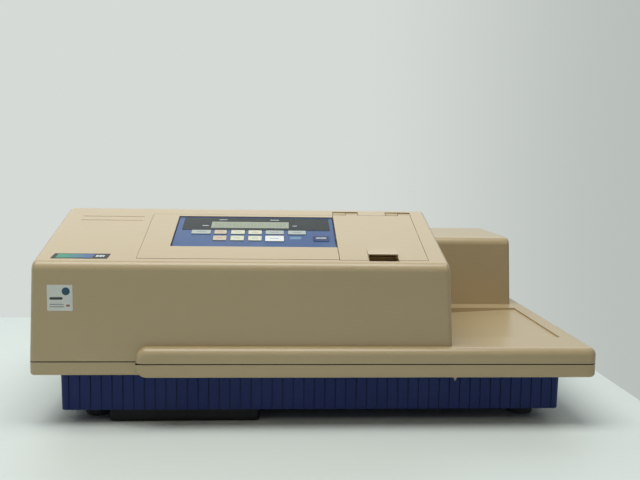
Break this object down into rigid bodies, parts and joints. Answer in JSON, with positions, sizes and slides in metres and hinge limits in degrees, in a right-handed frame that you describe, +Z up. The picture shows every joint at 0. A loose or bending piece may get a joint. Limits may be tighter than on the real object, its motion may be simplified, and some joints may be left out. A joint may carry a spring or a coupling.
{
  "type": "microplate reader",
  "caption": "Bench microplate reader with a sliding plate drawer at its right, a hinged cuvette lid and a sloped keypad with a display, on a ribbed base.",
  "frame": {"origin": "centre of the bounding box at the feet's underside, on the surface it stands on", "axes": "+X to the instrument's right, along its longest side, towards the drawer's travel; +Y to its back; +Z up"},
  "size_m": [0.58, 0.381, 0.2137],
  "materials": {
    "beige_moulding": "fine textured moulding",
    "blue_moulding": "textured moulding",
    "black_plastic": "moulded",
    "foot_rubber": "moulded",
    "bright_steel": "zinc plated",
    "blue_overlay": "printed film",
    "window_dark": "clear coated",
    "lcd_glass": "display face",
    "circuit_board": "solder mask",
    "black_foam": "foam",
    "black_anodised": "black anodised",
    "badge_face": "printed plate",
    "white_nylon": "moulded",
    "brass": "cut",
    "sheet_aluminium": "mill finish",
    "lens_glass": "polished",
    "mirror_face": "ruled",
    "motor_steel": "black",
    "key_grey": "printed key",
    "key_peach": "printed key",
    "key_yellow": "printed key",
    "key_white": "printed key",
    "key_blue": "printed key"
  },
  "bodies": {
    "reader": {"upper_cover": "beige_moulding", "lower_pan": "beige_moulding", "control_panel_plate": "beige_moulding", "base_tub": "blue_moulding", "underside_cover": "black_plastic", "rubber_feet": "foot_rubber", "foot_screws": "bright_steel", "cover_screws": "bright_steel", "hinge_pins": "bright_steel", "drawer_rails": "bright_steel", "fan_guard": "bright_steel", "keypad_overlay": "blue_overlay", "display_window": "window_dark", "lcd_module": "lcd_glass", "keypad_board": "circuit_board", "main_board": "circuit_board", "cuvette_lid_seal": "black_foam", "cuvette_well": "black_plastic", "cuvette_holder": "black_anodised", "badge_plate": "badge_face", "rail_brackets": "sheet_aluminium", "chassis_plate": "sheet_aluminium", "optics_bridge": "black_anodised", "detector_bar": "black_anodised", "bridge_lenses": "lens_glass", "monochromator_case": "sheet_aluminium", "monochromator_cover": "sheet_aluminium", "lamp_housing": "black_anodised", "light_guide": "black_plastic", "drawer_motor": "motor_steel", "power_supply": "sheet_aluminium", "rear_panel": "sheet_aluminium", "power_inlet": "black_plastic", "switch_frame": "black_plastic", "serial_port": "bright_steel", "printer_port": "bright_steel", "fan_frame": "black_plastic"},
    "drawer": {"plate_drawer": "black_anodised", "drawer_fascia": "beige_moulding", "drawer_rack": "white_nylon", "drawer_bushes": "white_nylon"},
    "plate_pusher": {"plate_pusher": "white_nylon"},
    "cuvette_lid": {"cuvette_lid": "beige_moulding"},
    "drive_pinion": {"drive_pinion": "brass", "motor_shaft": "bright_steel"},
    "grating_turntable": {"grating_mount": "black_anodised", "grating": "mirror_face"},
    "fan_rotor": {"fan_rotor": "black_plastic"},
    "power_rocker": {"power_rocker": "black_plastic"},
    "key_top_1": {"key_top_1": "key_grey"},
    "key_top_2": {"key_top_2": "key_peach"},
    "key_top_3": {"key_top_3": "key_yellow"},
    "key_top_4": {"key_top_4": "key_yellow"},
    "key_top_5": {"key_top_5": "key_grey"},
    "key_top_6": {"key_top_6": "key_grey"},
    "key_low_1": {"key_low_1": "key_peach"},
    "key_low_2": {"key_low_2": "key_yellow"},
    "key_low_3": {"key_low_3": "key_yellow"},
    "key_low_4": {"key_low_4": "key_white"},
    "drawer_key": {"drawer_key": "key_blue"}
  },
  "joints": [
    {"name": "lid_hinge", "type": "hinge", "parent": "reader", "child": "cuvette_lid", "pos_m": [0, -0.04437, 0.20791], "axis": [-1, 0, 0], "range_deg": [0, 100]},
    {"name": "drawer_slide", "type": "slide", "parent": "reader", "child": "drawer", "axis": [1, 0, 0], "range_m": [0, 0.12]},
    {"name": "pinion_spin", "type": "hinge", "parent": "reader", "child": "drive_pinion", "pos_m": [0.112, 0.02415, 0.08], "axis": [0, 0, 1], "range_deg": [0, 690]},
    {"name": "pusher_pivot", "type": "hinge", "parent": "drawer", "child": "plate_pusher", "pos_m": [0.03, -0.0825, 0.09], "axis": [0, 0, 1], "range_deg": [0, 4], "stiffness_Nm_per_rad": 0.05},
    {"name": "grating_turn", "type": "hinge", "parent": "reader", "child": "grating_turntable", "pos_m": [-0.18, -0.0205, 0.07], "axis": [0, 0, 1], "range_deg": [-20, 30]},
    {"name": "fan_spin", "type": "hinge", "parent": "reader", "child": "fan_rotor", "pos_m": [-0.012, 0.18, 0.13], "axis": [0, 1, 0], "continuous": true},
    {"name": "rocker_tilt", "type": "hinge", "parent": "reader", "child": "power_rocker", "pos_m": [-0.16, 0.1855, 0.13], "axis": [1, 0, 0], "range_deg": [0, 16]},
    {"name": "key_top_1_press", "type": "slide", "parent": "reader", "child": "key_top_1", "axis": [0, 0.3007, -0.9537], "range_m": [0, 0.0004], "stiffness_N_per_m": 1500},
    {"name": "key_top_2_press", "type": "slide", "parent": "reader", "child": "key_top_2", "axis": [0, 0.3007, -0.9537], "range_m": [0, 0.0004], "stiffness_N_per_m": 1500},
    {"name": "key_top_3_press", "type": "slide", "parent": "reader", "child": "key_top_3", "axis": [0, 0.3007, -0.9537], "range_m": [0, 0.0004], "stiffness_N_per_m": 1500},
    {"name": "key_top_4_press", "type": "slide", "parent": "reader", "child": "key_top_4", "axis": [0, 0.3007, -0.9537], "range_m": [0, 0.0004], "stiffness_N_per_m": 1500},
    {"name": "key_top_5_press", "type": "slide", "parent": "reader", "child": "key_top_5", "axis": [0, 0.3007, -0.9537], "range_m": [0, 0.0004], "stiffness_N_per_m": 1500},
    {"name": "key_top_6_press", "type": "slide", "parent": "reader", "child": "key_top_6", "axis": [0, 0.3007, -0.9537], "range_m": [0, 0.0004], "stiffness_N_per_m": 1500},
    {"name": "key_low_1_press", "type": "slide", "parent": "reader", "child": "key_low_1", "axis": [0, 0.3007, -0.9537], "range_m": [0, 0.0004], "stiffness_N_per_m": 1500},
    {"name": "key_low_2_press", "type": "slide", "parent": "reader", "child": "key_low_2", "axis": [0, 0.3007, -0.9537], "range_m": [0, 0.0004], "stiffness_N_per_m": 1500},
    {"name": "key_low_3_press", "type": "slide", "parent": "reader", "child": "key_low_3", "axis": [0, 0.3007, -0.9537], "range_m": [0, 0.0004], "stiffness_N_per_m": 1500},
    {"name": "key_low_4_press", "type": "slide", "parent": "reader", "child": "key_low_4", "axis": [0, 0.3007, -0.9537], "range_m": [0, 0.0004], "stiffness_N_per_m": 1500},
    {"name": "drawer_key_press", "type": "slide", "parent": "reader", "child": "drawer_key", "axis": [0, 0.3007, -0.9537], "range_m": [0, 0.0004], "stiffness_N_per_m": 1500}
  ],
  "couplings": [
    {"joint": "pinion_spin", "follows": "drawer_slide", "rad_per_m": 100}
  ]
}
